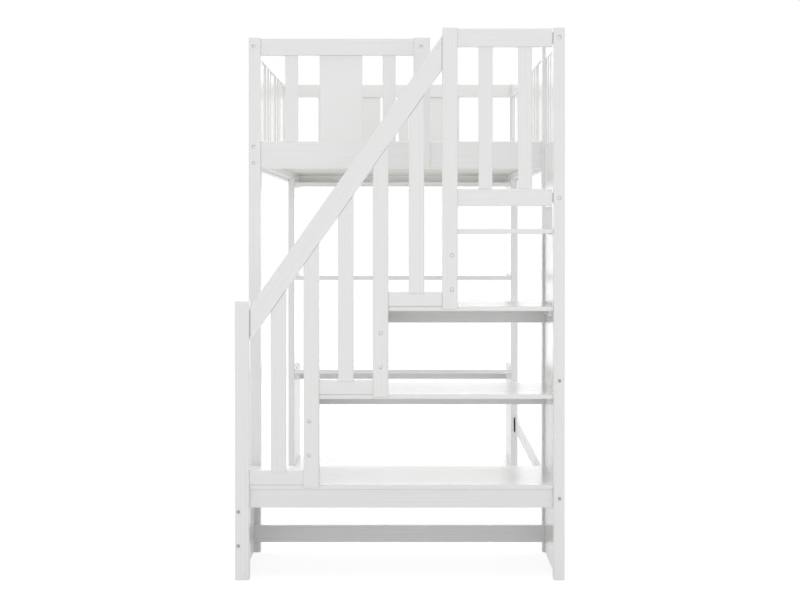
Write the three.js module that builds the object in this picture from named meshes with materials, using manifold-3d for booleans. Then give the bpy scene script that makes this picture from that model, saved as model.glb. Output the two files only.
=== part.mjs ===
// White wooden loft bed with a storage staircase across one end and a bookcase under the other.
// Millimetres, +Z up. +Y runs from the staircase to the bookcase, and +X is the wall side.
// The origin is on the floor under the middle of the whole bed.
import * as THREE from 'three';
import { mergeVertices } from 'three/addons/utils/BufferGeometryUtils.js';
import Module from 'manifold-3d';

// Overall sizes
const overallWidth = 1066; // across the bed, over its posts
const stairDepth = 481; // front of the stair posts to the front of the bed's near posts
const bedLength = 2024; // over the near and far posts of the bed
const fit = 0.3; // clearance between pieces that touch
const cutPast = 1; // how far a cut runs out past the faces that it opens
const edgeRadius = 3; // eased long edges of the lumber
const cornerFacets = 2; // the curve steps of an eased edge

// Levels, each stacked on the one before it
const firstStepRise = 306;
const secondStepRise = 293;
const thirdStepRise = 285;
const landingRise = 251;
const landingToBedRail = 212; // landing to the underside of the bed rails
const bedRailHeight = 96;
const guardOpening = 302; // clear height between a bed rail and the guard rail over it
const guardRailHeight = 60;
const postStandUp = 1.5; // how far the posts pass the guard rails
const stairTopDrop = 20; // how far the stair's posts end below the bed's
const newelAboveStep = 596; // first step to the top of the newel

// Posts
const bedPostWidth = 41.5; // of the bed's two posts on the open side
const bedPostDepth = 45;
const stairPostDepth = 45;
const newelWidth = 46;
const stairPostWidth = 49.5;
const wallPostWidth = 36; // of every post that stands against the wall
const gatePostWidth = 58;
const entranceWidth = 394; // clear way from the landing on to the bed

// Staircase
const going = 224; // centre to centre of the stair posts
const treadThickness = 15;
const treadSetback = 16; // front edge of the treads behind the front of the posts
const treadRearGap = 20; // rear edge of the treads to the bed
const treadOverhang = 3; // past the riser board under a tread's left end
const postLap = 7; // how far a post's foot laps down over the edge of its tread
const toeRailHeight = 47;
const toeRailThickness = 25;
const toeRailSetback = 12;
const balusterWidth = 49.5;
const balusterShifts = [6, -1, 4]; // beside the middle of each toe rail
const balusterThickness = 22;
const balusterSetback = 8;
const balusterLap = 5; // how far a baluster laps down over its toe rail
const handrailWidth = 63.5; // square to its slope
const handrailThickness = 25;
const handrailSetback = 8;
const handrailDropAtNewel = 77; // top of the newel to the middle of the handrail's end
const handrailDropAtTop = 80; // the same at the high post
const handrailNewelGap = 3; // shadow gap between the newel and the handrail's end
const riserThickness = 18;
const lowRiserShift = -7; // riser board's centre beside the centre of its post
const highRiserShift = 6;
const rearRailHeight = 60;
const rearRailThickness = 20;
const apronHeight = 60;
const apronThickness = 18;
const apronSetback = 10; // behind the front edge of the first tread
const boardLift = 6; // side boards above the floor
const sideBoardThickness = 20;
const sideBoardInset = 1.5; // behind the newel's outer face
const cleatHeight = 18;
const cleatThickness = 20;
const cleatInset = 12; // ends of a cleat short of the boards that it joins
const baseStretcherHeight = 59;
const baseStretcherLift = 40;
const baseStretcherThickness = 20;
const baseStretcherGap = 4; // in front of the bed's posts

// Guards of the landing
const landingRailGap = 75; // landing to the underside of its lower guard rail
const landingRailHeight = 55;
const landingRailThickness = 24;
const landingRailSetback = 10;
const landingRailEndGap = 4; // shoulder of the guard rails to the wall post
const endTenonLength = 10;
const endTenonThickness = 12;
const endTenonShoulder = 12; // rail above and below its end tenon
const landingGaps = [68.5, 83, 69]; // how the room beside the slats is shared
const landingSlatCount = 2;
const wallBoardHeight = 219;
const wallGuardGaps = [47, 46.5, 45.5, 48, 69];
const wallGuardSlatCount = 4;

// Slats and panels of the guards
const slatWidth = 45;
const slatThickness = 16;
const panelWidth = 150;
const panelThickness = 10;
const tenonLength = 8; // into the rails at both ends
const tenonShoulder = 3; // all round a tenon

// Bed frame
const endRailThickness = 24;
const endRailSetback = 12; // behind the outer faces of the posts
const gateRailHousing = 40; // how far the guard rail runs into the gate post
const gatePostLap = 91; // how far the gate post laps down over the bed rail
const sideInset = 6; // side rails behind the outer faces of the posts
const sideThickness = 22;
const ledgerHeight = 25;
const ledgerThickness = 22;
const ledgerLift = 7; // above the underside of the side rails
const nearGaps = [85.5, 76, 72, 63];
const farGaps = [98, 94, 87, 87, 94, 98];
const sideEndGap = 1; // share of the room at each end of a side guard
const sideMidGap = 2; // share of the room between two of its slats or panels
const baseSlatWidth = 70;
const baseSlatThickness = 18;
const baseSlatSpacing = 68; // aimed at between two bed slats
const baseEndGap = 14; // first and last bed slat to the end rails' posts
const strapWidth = 30;
const strapThickness = 1.6;
const strapInset = 190; // strap centre from the end of the slats
const strapFromEdge = 20; // strap end inside the outer slat's edge

// Bookcase
const caseDepth = 410;
const caseInset = 28.5; // outer face of its sides inside the overall width
const caseSideThickness = 26;
const shelfThickness = 17;
const lowShelfTop = 80;
const middleShelfRise = 430;
const upperShelfRise = 415;
const topBoardDrop = 17; // top board below the ledgers
const backRailHeight = 57;
const backRailThickness = 18;
const caseCleatHeight = 25;
const caseCleatThickness = 18;
const wallStretcherHeight = 62;
const wallStretcherLift = 236;
const wallStretcherThickness = 22;
const notchRoom = 6; // beside the stretcher where it passes the case
const notchHeadroom = 1.5;

// Bolt holes: the counterbores that show on the fronts of the posts
const boltRadius = 6.5;
const boltDepth = 4;
const boltFacets = 16;
const nutRadius = 5; // barrel nut in the side of a post that stands on a tread
const nutDepth = 8;
const nutAboveStep = 22;
const stairBoltDrop = 85; // tread to the upper bolt in the post below it
const stairBoltSpacing = 110;
const bedBoltSpacing = 57;
const wallPanelBolts = [264, 645]; // heights of the bolts into the wall panel
const wallBoardBoltRise = 25; // above the underside of the wall board
const gateBoltReach = 26; // gate post's left face to its bolt

// Levels worked out from the sizes
const stepTops = [firstStepRise];
for (const rise of [secondStepRise, thirdStepRise, landingRise]) {
  stepTops.push(stepTops.at(-1) + rise);
}
const landingTop = stepTops.at(-1);
const bedRailBottom = landingTop + landingToBedRail;
const bedRailTop = bedRailBottom + bedRailHeight;
const guardRailBottom = bedRailTop + guardOpening;
const guardRailTop = guardRailBottom + guardRailHeight;
const bedPostTop = guardRailTop + postStandUp;
const stairPostTop = bedPostTop - stairTopDrop;
const stairGuardTop = stairPostTop - postStandUp;
const stairGuardBottom = stairGuardTop - guardRailHeight;
const landingRailBottom = landingTop + landingRailGap;
const landingRailTop = landingRailBottom + landingRailHeight;
const wallBoardTop = landingRailBottom + wallBoardHeight;
const newelTop = firstStepRise + newelAboveStep;
const ledgerBottom = bedRailBottom + ledgerLift;
const ledgerTop = ledgerBottom + ledgerHeight;

// Places across the bed
const halfWidth = overallWidth / 2;
const sideOuter = halfWidth - sideInset;
const sideInner = sideOuter - sideThickness;
const newelRight = -halfWidth + newelWidth;
const newelCentre = -halfWidth + newelWidth / 2;
const wallPostLeft = halfWidth - wallPostWidth;
const betweenBedPosts = [-halfWidth + bedPostWidth, wallPostLeft];
const postCentres = [1, 2, 3].map((count) => newelCentre + count * going);
const gateRight = wallPostLeft - entranceWidth;
const gateLeft = gateRight - gatePostWidth;

// Places along the bed, measured in the staircase's own frame
const treadRear = stairDepth - treadRearGap;
const behindPosts = stairPostDepth + fit;
const overallLength = stairDepth + bedLength;

const wasm = await Module();
wasm.setup();

// Pieces are painted pine and board of one white; the webbing of the bed slats is cotton.
const paint = { color: 0xf4f4f2, roughness: 0.42, metalness: 0 };
const lumber = () => new THREE.MeshStandardMaterial(paint);
const slatWood = () => new THREE.MeshStandardMaterial({ color: 0xefeeea, roughness: 0.55 });

// A three.js geometry becomes a solid that can be cut and joined, and back again.
function toSolid(geometry) {
  const bare = geometry.clone();
  bare.deleteAttribute('normal');
  bare.deleteAttribute('uv');
  const merged = mergeVertices(bare, 1e-4);
  return new wasm.Manifold(new wasm.Mesh({
    numProp: 3,
    vertProperties: Float32Array.from(merged.attributes.position.array),
    triVerts: Uint32Array.from(merged.index.array),
  }));
}

function toGeometry(solid) {
  const { vertProperties, triVerts } = solid.getMesh();
  const shared = new THREE.BufferGeometry();
  shared.setAttribute('position', new THREE.BufferAttribute(vertProperties, 3));
  shared.setIndex(new THREE.BufferAttribute(triVerts, 1));
  const flat = shared.toNonIndexed();
  flat.computeVertexNormals();
  return flat;
}

const join = (first, ...rest) => rest.reduce((all, next) => all.add(next), first);
const cut = (first, ...rest) => rest.reduce((all, next) => all.subtract(next), first);

// The turn that lays an extrusion along an axis: profile width and height, then its length.
const turns = {
  x: new THREE.Matrix4().makeBasis(
    new THREE.Vector3(0, 1, 0), new THREE.Vector3(0, 0, 1), new THREE.Vector3(1, 0, 0)),
  y: new THREE.Matrix4().makeBasis(
    new THREE.Vector3(0, 0, 1), new THREE.Vector3(1, 0, 0), new THREE.Vector3(0, 1, 0)),
  z: new THREE.Matrix4(),
};
const sectionAxes = { x: ['y', 'z'], y: ['z', 'x'], z: ['x', 'y'] };

const size = ([low, high]) => high - low;
const middle = ([low, high]) => (low + high) / 2;

// A rectangle about the origin whose corners are rounded.
function roundedRectangle(width, height, radius) {
  const right = width / 2 - radius;
  const top = height / 2 - radius;
  const outline = new THREE.Shape();
  outline.absarc(right, -top, radius, -Math.PI / 2, 0);
  outline.absarc(right, top, radius, 0, Math.PI / 2);
  outline.absarc(-right, top, radius, Math.PI / 2, Math.PI);
  outline.absarc(-right, -top, radius, Math.PI, 1.5 * Math.PI);
  return outline;
}

// A length of lumber in the box x, y, z whose edges along one axis are eased, ends square.
function stick(box, along) {
  const [first, second] = sectionAxes[along];
  const width = size(box[first]);
  const height = size(box[second]);
  const radius = Math.min(edgeRadius, Math.min(width, height) / 4);
  const geometry = new THREE.ExtrudeGeometry(roundedRectangle(width, height, radius), {
    depth: size(box[along]), bevelEnabled: false, curveSegments: cornerFacets,
  });
  geometry.translate(0, 0, -size(box[along]) / 2);
  geometry.applyMatrix4(turns[along]);
  geometry.translate(middle(box.x), middle(box.y), middle(box.z));
  return toSolid(geometry);
}

// A square-edged block, for tenons and cuts.
function block({ x, y, z }) {
  const geometry = new THREE.BoxGeometry(size(x), size(y), size(z));
  geometry.translate(middle(x), middle(y), middle(z));
  return toSolid(geometry);
}

// A board cut to an outline seen from the front, given as [x, z] corners anticlockwise.
// Its front and back edges are chamfered by the ease of the lumber.
function cutBoard(corners, y) {
  const ease = Math.min(edgeRadius, size(y) / 4);
  const outline = new THREE.Shape(corners.map(([x, z]) => new THREE.Vector2(x, z)));
  const geometry = new THREE.ExtrudeGeometry(outline, {
    depth: size(y) - 2 * ease, bevelEnabled: true, bevelThickness: ease,
    bevelSize: ease, bevelOffset: -ease, bevelSegments: cornerFacets,
  });
  geometry.rotateX(Math.PI / 2);
  geometry.translate(0, y[1] - ease, 0);
  return toSolid(geometry);
}

// A post: eased all round, its top and foot too.
function post(x, y, z) {
  const ease = Math.min(edgeRadius, size(x) / 4, size(y) / 4);
  const outline = roundedRectangle(size(x), size(y), ease);
  const geometry = new THREE.ExtrudeGeometry(outline, {
    depth: size(z) - 2 * ease, bevelEnabled: true, bevelThickness: ease,
    bevelSize: ease / 2, bevelOffset: -ease / 2, bevelSegments: cornerFacets,
    curveSegments: cornerFacets,
  });
  geometry.translate(middle(x), middle(y), z[0] + ease);
  return toSolid(geometry);
}

// The counterbore of a bolt in a front face at y, or in a back face where the side is -1.
function boltHole(x, y, z, side = 1) {
  const reach = 2 * boltDepth;
  const geometry = new THREE.CylinderGeometry(boltRadius, boltRadius, reach, boltFacets);
  geometry.translate(x, y + side * (boltDepth - reach / 2), z);
  return toSolid(geometry);
}

// The hole of a barrel nut in a post's right-hand face at x.
function nutHole(x, y, z) {
  const geometry = new THREE.CylinderGeometry(nutRadius, nutRadius, 2 * nutDepth, boltFacets);
  geometry.rotateZ(Math.PI / 2);
  geometry.translate(x, y, z);
  return toSolid(geometry);
}

const grow = ([low, high], by) => [low - by, high + by];
const around = (centre, width) => [centre - width / 2, centre + width / 2];

// Shares out the room that pieces of given widths leave in a span, by the given gap shares.
function spread(span, widths, shares) {
  const room = size(span) - widths.reduce((sum, width) => sum + width, 0);
  const whole = shares.reduce((sum, share) => sum + share, 0);
  const places = [];
  let at = span[0];
  widths.forEach((width, index) => {
    at += room * shares[index] / whole;
    places.push([at, at + width]);
    at += width;
  });
  return places;
}

// An upright slat or panel of a guard, with a stub tenon into the rail at each end.
// Wide is the axis of its width. A top that is glued in runs into its rail whole.
function upright(place, wide, centre, thickness, z, gluedTop = false) {
  const thin = wide === 'x' ? 'y' : 'x';
  const across = around(centre, thickness);
  const top = gluedTop ? z[1] + tenonLength : z[1] - fit;
  const body = stick({ [wide]: place, [thin]: across, z: [z[0] + fit, top] }, 'z');
  const tenon = {
    [wide]: grow(place, -tenonShoulder),
    [thin]: grow(across, -tenonShoulder),
    z: [z[0] - tenonLength, z[1] + tenonLength],
  };
  const mortise = {
    [wide]: grow(tenon[wide], fit),
    [thin]: grow(tenon[thin], fit),
    z: grow(tenon.z, fit),
  };
  return { solid: join(body, block(tenon)), mortise: block(mortise) };
}

// Puts a finished solid into a group as a named mesh about its own centre.
function add(group, name, solid, material = lumber()) {
  const geometry = toGeometry(solid);
  geometry.computeBoundingBox();
  const centre = geometry.boundingBox.getCenter(new THREE.Vector3());
  geometry.translate(-centre.x, -centre.y, -centre.z);
  const mesh = new THREE.Mesh(geometry, material);
  mesh.name = name;
  mesh.position.copy(centre);
  group.add(mesh);
}

// Staircase, in a frame whose y is 0 at the front of its posts

const stairPostY = [0, stairPostDepth];
const handrailY = [handrailSetback, handrailSetback + handrailThickness];
const balusterY = [balusterSetback, balusterSetback + balusterThickness];
const toeRailY = [toeRailSetback, toeRailSetback + toeRailThickness];

// Middle of the handrail: a straight line from the newel to the high post.
const handrailStart = { x: newelRight, z: newelTop - handrailDropAtNewel };
const highPostLeft = postCentres[2] - stairPostWidth / 2;
const handrailEnd = { x: highPostLeft, z: stairPostTop - handrailDropAtTop };
const handrailSlope = (handrailEnd.z - handrailStart.z) / (handrailEnd.x - handrailStart.x);
const handrailRise = handrailWidth / 2 * Math.hypot(1, handrailSlope);
const handrailAt = (x, side) => (
  handrailStart.z + handrailSlope * (x - handrailStart.x) + side * handrailRise);
const undersideAt = (x) => handrailAt(x, -1) - fit * Math.hypot(1, handrailSlope);

// The handrail's lower end stops short of the newel, and a stub tenon crosses the gap.
const handrailLeft = handrailStart.x + handrailNewelGap;
const handrailTenon = {
  x: [newelRight - endTenonLength, handrailLeft + edgeRadius],
  y: around(middle(handrailY), endTenonThickness),
  z: [handrailAt(handrailLeft, -1) + endTenonShoulder,
    handrailAt(handrailLeft, 1) - endTenonShoulder],
};

function handrail() {
  const right = handrailEnd.x - fit;
  const board = cutBoard([
    [handrailLeft, handrailAt(handrailLeft, -1)], [right, handrailAt(right, -1)],
    [right, handrailAt(right, 1)], [handrailLeft, handrailAt(handrailLeft, 1)],
  ], handrailY);
  return join(board, block(handrailTenon));
}

// An upright under the handrail whose foot laps over the edge of what it stands on.
function underHandrail(x, y, standsOn, lap, lapY) {
  const [left, right] = x;
  const foot = standsOn - lap;
  const solid = cutBoard([
    [left, foot], [right, foot], [right, undersideAt(right)], [left, undersideAt(left)],
  ], y);
  return cut(solid, footRebate(x, y, standsOn, lap, lapY));
}

// What is cut from the back of a foot, so that it stands on a top and laps over its edge.
function footRebate(x, y, standsOn, lap, lapY) {
  return block({
    x: grow(x, cutPast), y: [lapY - fit, y[1] + cutPast],
    z: [standsOn - lap - cutPast, standsOn + fit],
  });
}

// The two bolts that hold a riser or side board behind a post, under the tread at a level.
function stairBolts(x, tread) {
  return [stairBoltDrop, stairBoltDrop + stairBoltSpacing].map((drop) => (
    boltHole(x, 0, tread - drop)));
}

const sideBoardX = [
  -halfWidth + sideBoardInset, -halfWidth + sideBoardInset + sideBoardThickness];
const riserShifts = [lowRiserShift, 0, highRiserShift];
const riserCentres = postCentres.map((centre, index) => centre + riserShifts[index]);
const riserX = riserCentres.map((centre) => around(centre, riserThickness));
const landing = stepTops.length - 1;
const treadBottom = (index) => stepTops[index] - treadThickness;

function addStairPosts(group) {
  const newel = post([-halfWidth, newelRight], stairPostY, [0, newelTop]);
  const handrailMortise = block({
    x: [handrailTenon.x[0] - fit, newelRight + cutPast],
    y: grow(handrailTenon.y, fit), z: grow(handrailTenon.z, fit),
  });
  add(group, 'newel_post', cut(
    newel, ...stairBolts(middle(sideBoardX), firstStepRise), handrailMortise));

  const footNut = (x, index) => (
    nutHole(x[1], middle(stairPostY), stepTops[index] + nutAboveStep));

  ['stair_post_low', 'stair_post_mid'].forEach((name, index) => {
    const x = around(postCentres[index], stairPostWidth);
    const solid = underHandrail(x, stairPostY, stepTops[index], postLap, treadSetback);
    add(group, name, cut(
      solid, ...stairBolts(riserCentres[index], stepTops[index + 1]), footNut(x, index)));
  });

  const highX = around(postCentres[2], stairPostWidth);
  const high = post(highX, stairPostY, [stepTops[2] - postLap, stairPostTop]);
  add(group, 'stair_post_high', cut(
    high, footRebate(highX, stairPostY, stepTops[2], postLap, treadSetback),
    ...stairBolts(riserCentres[2], landingTop), footNut(highX, 2)));

  const wallBolts = [
    ...wallPanelBolts, landingRailBottom + wallBoardBoltRise,
    (stairGuardBottom + stairGuardTop) / 2,
  ].map((level) => boltHole(middle([sideInner, sideOuter]), 0, level));
  const mortises = landingRails().map(({ mortise }) => mortise);
  add(group, 'stair_wall_post', cut(
    post([wallPostLeft, halfWidth], stairPostY, [0, stairPostTop]), ...wallBolts, ...mortises));
}

// Toe rails, and the balusters that stand on them under the handrail.
function addStepGuards(group) {
  const rights = [newelRight, ...postCentres.map((centre) => centre + stairPostWidth / 2)];
  [0, 1, 2].forEach((index) => {
    const x = [rights[index] + fit, postCentres[index] - stairPostWidth / 2 - fit];
    const top = stepTops[index] + toeRailHeight;
    const rail = stick({ x, y: toeRailY, z: [stepTops[index] + fit, top] }, 'x');
    const balusterX = around(middle(x) + balusterShifts[index], balusterWidth);
    const housing = block({
      x: grow(balusterX, fit), y: [balusterSetback, toeRailSetback + balusterLap],
      z: [top - balusterLap - fit, top + cutPast],
    });
    add(group, `toe_rail_${index + 1}`, cut(rail, housing));
    add(group, `baluster_${index + 1}`, underHandrail(
      balusterX, balusterY, top, balusterLap, toeRailSetback + balusterLap));
  });
  add(group, 'handrail', handrail());
}

// A tread: its front edge shows between the posts, and behind them it runs out to both sides.
function tread(index, frontX, rearX) {
  const z = [treadBottom(index), stepTops[index]];
  const whole = stick({
    x: [Math.min(frontX[0], rearX[0]), Math.max(frontX[1], rearX[1])],
    y: [treadSetback, treadRear], z,
  }, 'x');
  const corners = [[rearX[0] - cutPast, frontX[0]], [frontX[1], rearX[1] + cutPast]]
    .map((x) => block({ x, y: [0, behindPosts], z: grow(z, cutPast) }));
  return cut(whole, ...corners);
}

function addTreads(group) {
  const wallFront = wallPostLeft - fit;
  const lefts = [newelRight, ...postCentres.map((centre) => centre + stairPostWidth / 2)];
  const rearLefts = [sideBoardX[0], ...riserX.map(([left]) => left - treadOverhang)];
  ['tread_1', 'tread_2', 'tread_3', 'landing_tread'].forEach((name, index) => {
    const rearRight = index === landing ? sideOuter : sideInner - fit;
    add(group, name, tread(
      index, [lefts[index] + fit, wallFront], [rearLefts[index], rearRight]));
  });

  // A rail under the rear edge of each tread but the landing.
  const railLefts = [sideBoardX[1], riserX[0][1], riserX[1][1]];
  railLefts.forEach((left, index) => {
    const top = treadBottom(index) - fit;
    add(group, `tread_rear_rail_${index + 1}`, stick({
      x: [left + fit, sideInner - fit], y: [treadRear - rearRailThickness, treadRear],
      z: [top - rearRailHeight, top],
    }, 'x'));
  });

  const apronTop = treadBottom(0) - fit;
  const apronFront = treadSetback + apronSetback;
  add(group, 'tread_apron', stick({
    x: [newelRight + fit, wallFront], y: [apronFront, apronFront + apronThickness],
    z: [apronTop - apronHeight, apronTop],
  }, 'x'));
}

// Boards on edge that carry the treads.
function addStairBoards(group) {
  riserX.forEach((x, index) => {
    add(group, `riser_board_${index + 1}`, stick({
      x, y: [behindPosts, treadRear],
      z: [stepTops[index] + fit, treadBottom(index + 1) - fit],
    }, 'z'));
  });

  const boardY = [behindPosts, stairDepth - fit];
  add(group, 'stair_side_board', stick({
    x: sideBoardX, y: boardY, z: [boardLift, treadBottom(0) - fit],
  }, 'y'));

  // The wall panel carries a glued cleat under the right end of each tread but the landing.
  const panel = stick({
    x: [sideInner, sideOuter], y: boardY, z: [boardLift, treadBottom(landing) - fit],
  }, 'y');
  const cleatY = [
    behindPosts + cleatInset, treadRear - rearRailThickness - cleatInset];
  const cleats = [0, 1, 2].map((index) => stick({
    x: [sideInner - cleatThickness, sideInner + edgeRadius], y: cleatY,
    z: [treadBottom(index) - fit - cleatHeight, treadBottom(index) - fit],
  }, 'y'));
  add(group, 'stair_wall_panel', join(panel, ...cleats));

  const stretcherRear = stairDepth - baseStretcherGap;
  add(group, 'stair_base_stretcher', stick({
    x: [sideBoardX[1] + fit, sideInner - fit],
    y: [stretcherRear - baseStretcherThickness, stretcherRear],
    z: [baseStretcherLift, baseStretcherLift + baseStretcherHeight],
  }, 'x'));
}

// The landing's two guard rails, each with a stub tenon into the wall post.
function landingRails() {
  const y = [landingRailSetback, landingRailSetback + landingRailThickness];
  const left = postCentres[2] + stairPostWidth / 2 + fit;
  const right = wallPostLeft - landingRailEndGap;
  const spans = [[stairGuardBottom, stairGuardTop], [landingRailBottom, landingRailTop]];
  return spans.map((z) => {
    const tenon = {
      x: [right - edgeRadius, wallPostLeft + endTenonLength],
      y: around(middle(y), endTenonThickness),
      z: grow(z, -endTenonShoulder),
    };
    const mortise = {
      x: [wallPostLeft - cutPast, tenon.x[1] + fit],
      y: grow(tenon.y, fit), z: grow(tenon.z, fit),
    };
    return {
      solid: join(stick({ x: [left, right], y, z }, 'x'), block(tenon)),
      mortise: block(mortise),
    };
  });
}

function addLandingGuards(group) {
  const span = [postCentres[2] + stairPostWidth / 2, wallPostLeft];
  const centre = landingRailSetback + landingRailThickness / 2;
  const slats = spread(span, Array(landingSlatCount).fill(slatWidth), landingGaps)
    .map((x) => upright(x, 'x', centre, slatThickness, [landingRailTop, stairGuardBottom]));
  slats.forEach(({ solid }, index) => add(group, `landing_slat_${index + 1}`, solid));
  const mortises = slats.map(({ mortise }) => mortise);
  const [top, bottom] = landingRails();
  add(group, 'landing_top_rail', cut(top.solid, ...mortises));
  add(group, 'landing_bottom_rail', cut(bottom.solid, ...mortises));

  // The guard on the wall side is one glued frame: a wide board, slats and a top rail.
  const y = [behindPosts, stairDepth - fit];
  const x = [sideInner, sideOuter];
  const board = stick({ x, y, z: [landingRailBottom, wallBoardTop] }, 'y');
  const rail = stick({ x, y, z: [stairGuardBottom, stairGuardTop] }, 'y');
  const bars = spread(
    [stairPostDepth, stairDepth], Array(wallGuardSlatCount).fill(slatWidth), wallGuardGaps)
    .map((place) => stick({
      x: around(middle(x), slatThickness), y: place,
      z: [wallBoardTop - tenonLength, stairGuardBottom + tenonLength],
    }, 'z'));
  add(group, 'landing_wall_guard', join(board, rail, ...bars));
}

// Bed, in a frame whose y is 0 at the front of its near posts

const nearRailY = [endRailSetback, endRailSetback + endRailThickness];
const farRailY = [
  bedLength - endRailSetback - endRailThickness, bedLength - endRailSetback];
const betweenPostsY = [bedPostDepth + fit, bedLength - bedPostDepth - fit];
const guardZ = [bedRailTop, guardRailBottom];
const barWidths = { slat: slatWidth, panel: panelWidth };
const barThicknesses = { slat: slatThickness, panel: panelThickness };
const bedSides = { left: -1, right: 1 };
const endRailX = grow(betweenBedPosts, -fit);

function addBedPosts(group) {
  const bolts = (x, y, side) => [
    (guardRailBottom + guardRailTop) / 2,
    (bedRailBottom + bedRailTop + bedBoltSpacing) / 2,
    (bedRailBottom + bedRailTop - bedBoltSpacing) / 2,
  ].map((level) => boltHole(x, y, level, side));
  const ends = { near: [0, bedPostDepth], far: [bedLength - bedPostDepth, bedLength] };
  for (const [end, y] of Object.entries(ends)) {
    for (const [side, sign] of Object.entries(bedSides)) {
      const x = sign < 0 ? [-halfWidth, betweenBedPosts[0]] : [wallPostLeft, halfWidth];
      const boltX = sign * middle([sideInner, sideOuter]);
      const face = end === 'near' ? bolts(boltX, 0, 1) : bolts(boltX, bedLength, -1);
      add(group, `bed_post_${end}_${side}`, cut(post(x, y, [0, bedPostTop]), ...face));
    }
  }
}

// One end of the bed: rails between the posts, and slats and panels tenoned into them.
function addBedEnd(group, end, y, pattern, gaps, span, topRailX) {
  const widths = pattern.map((kind) => barWidths[kind]);
  const counts = { slat: 0, panel: 0 };
  const mortises = [];
  spread(span, widths, gaps).forEach((place, index) => {
    const kind = pattern[index];
    counts[kind] += 1;
    const piece = upright(place, 'x', middle(y), barThicknesses[kind], guardZ);
    add(group, `${end}_${kind}_${counts[kind]}`, piece.solid);
    mortises.push(piece.mortise);
  });
  const bedRail = stick({ x: endRailX, y, z: [bedRailBottom, bedRailTop] }, 'x');
  const topRail = stick({ x: topRailX, y, z: [guardRailBottom, guardRailTop] }, 'x');
  add(group, `${end}_bed_rail`, cut(bedRail, ...mortises));
  add(group, `${end}_top_rail`, cut(topRail, ...mortises));
}

// The gate post laps over the front of the bed rail and houses the end of the guard rail.
function addGatePost(group) {
  const x = [gateLeft, gateRight];
  const y = [0, nearRailY[1]];
  const foot = bedRailTop - gatePostLap;
  const solid = post(x, y, [foot, bedPostTop]);
  const overBedRail = block({
    x: grow(x, cutPast), y: [nearRailY[0] - fit, y[1] + cutPast],
    z: [foot - cutPast, bedRailTop + fit],
  });
  const railHousing = block({
    x: [gateLeft - cutPast, gateLeft + gateRailHousing + fit],
    y: [nearRailY[0] - fit, y[1] + cutPast], z: grow([guardRailBottom, guardRailTop], fit),
  });
  const bolt = boltHole(gateLeft + gateBoltReach, 0, (guardRailBottom + guardRailTop) / 2);
  add(group, 'gate_post', cut(solid, overBedRail, railHousing, bolt));
}

// A long side: the bed rail with its ledger, and the guard frame that stands on it.
function addBedSide(group, side, sign) {
  const x = [sign * sideInner, sign * sideOuter].sort((a, b) => a - b);
  const ledgerX = [sign * (sideInner - ledgerThickness), sign * (sideInner + edgeRadius)];
  const rail = stick({ x, y: betweenPostsY, z: [bedRailBottom, bedRailTop] }, 'y');
  const ledger = stick({
    x: ledgerX.sort((a, b) => a - b), y: betweenPostsY, z: [ledgerBottom, ledgerTop],
  }, 'y');

  const bay = ['panel', 'slat', 'slat'];
  const pattern = ['slat', ...bay, ...bay, ...bay, 'panel', 'slat'];
  const widths = pattern.map((kind) => barWidths[kind]);
  const inner = Array(pattern.length - 1).fill(sideMidGap);
  const shares = [sideEndGap, ...inner, sideEndGap];
  const places = spread([bedPostDepth, bedLength - bedPostDepth], widths, shares);
  const pieces = places.map((place, index) => (
    upright(place, 'y', middle(x), barThicknesses[pattern[index]], guardZ, true)));
  const topRail = stick({ x, y: betweenPostsY, z: [guardRailBottom, guardRailTop] }, 'y');
  const mortises = pieces.map(({ mortise }) => mortise);
  add(group, `side_rail_${side}`, cut(join(rail, ledger), ...mortises));
  add(group, `side_guard_${side}`, join(topRail, ...pieces.map(({ solid }) => solid)));
}

// The bed slats lie across the ledgers, joined into one roll by two webbing straps.
function addSlatBase(group) {
  const firstY = bedPostDepth + baseEndGap;
  const lastY = bedLength - firstY;
  const count = Math.round(
    (lastY - firstY + baseSlatSpacing) / (baseSlatWidth + baseSlatSpacing));
  const pitch = (lastY - firstY - baseSlatWidth) / (count - 1);
  const z = [ledgerTop + fit, ledgerTop + fit + baseSlatThickness];
  const slatEnd = sideInner - fit;
  const slats = Array.from({ length: count }, (_, index) => stick({
    x: [-slatEnd, slatEnd],
    y: [firstY + index * pitch, firstY + index * pitch + baseSlatWidth], z,
  }, 'x'));
  const straps = [-1, 1].map((sign) => block({
    x: around(sign * (slatEnd - strapInset), strapWidth),
    y: [firstY + strapFromEdge, lastY - strapFromEdge],
    z: [z[1] - strapThickness / 2, z[1] + strapThickness / 2],
  }));
  add(group, 'slat_base', join(...slats.slice(0, 1), ...straps, ...slats.slice(1)), slatWood());
}

// Bookcase, in a frame whose y is 0 at its front

const caseOuter = halfWidth - caseInset;
const caseInner = caseOuter - caseSideThickness;
const shelfTops = [lowShelfTop, lowShelfTop + middleShelfRise];
shelfTops.push(shelfTops[1] + upperShelfRise);
const wallStretcherX = [wallPostLeft, wallPostLeft + wallStretcherThickness];
const wallStretcherZ = [wallStretcherLift, wallStretcherLift + wallStretcherHeight];

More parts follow.
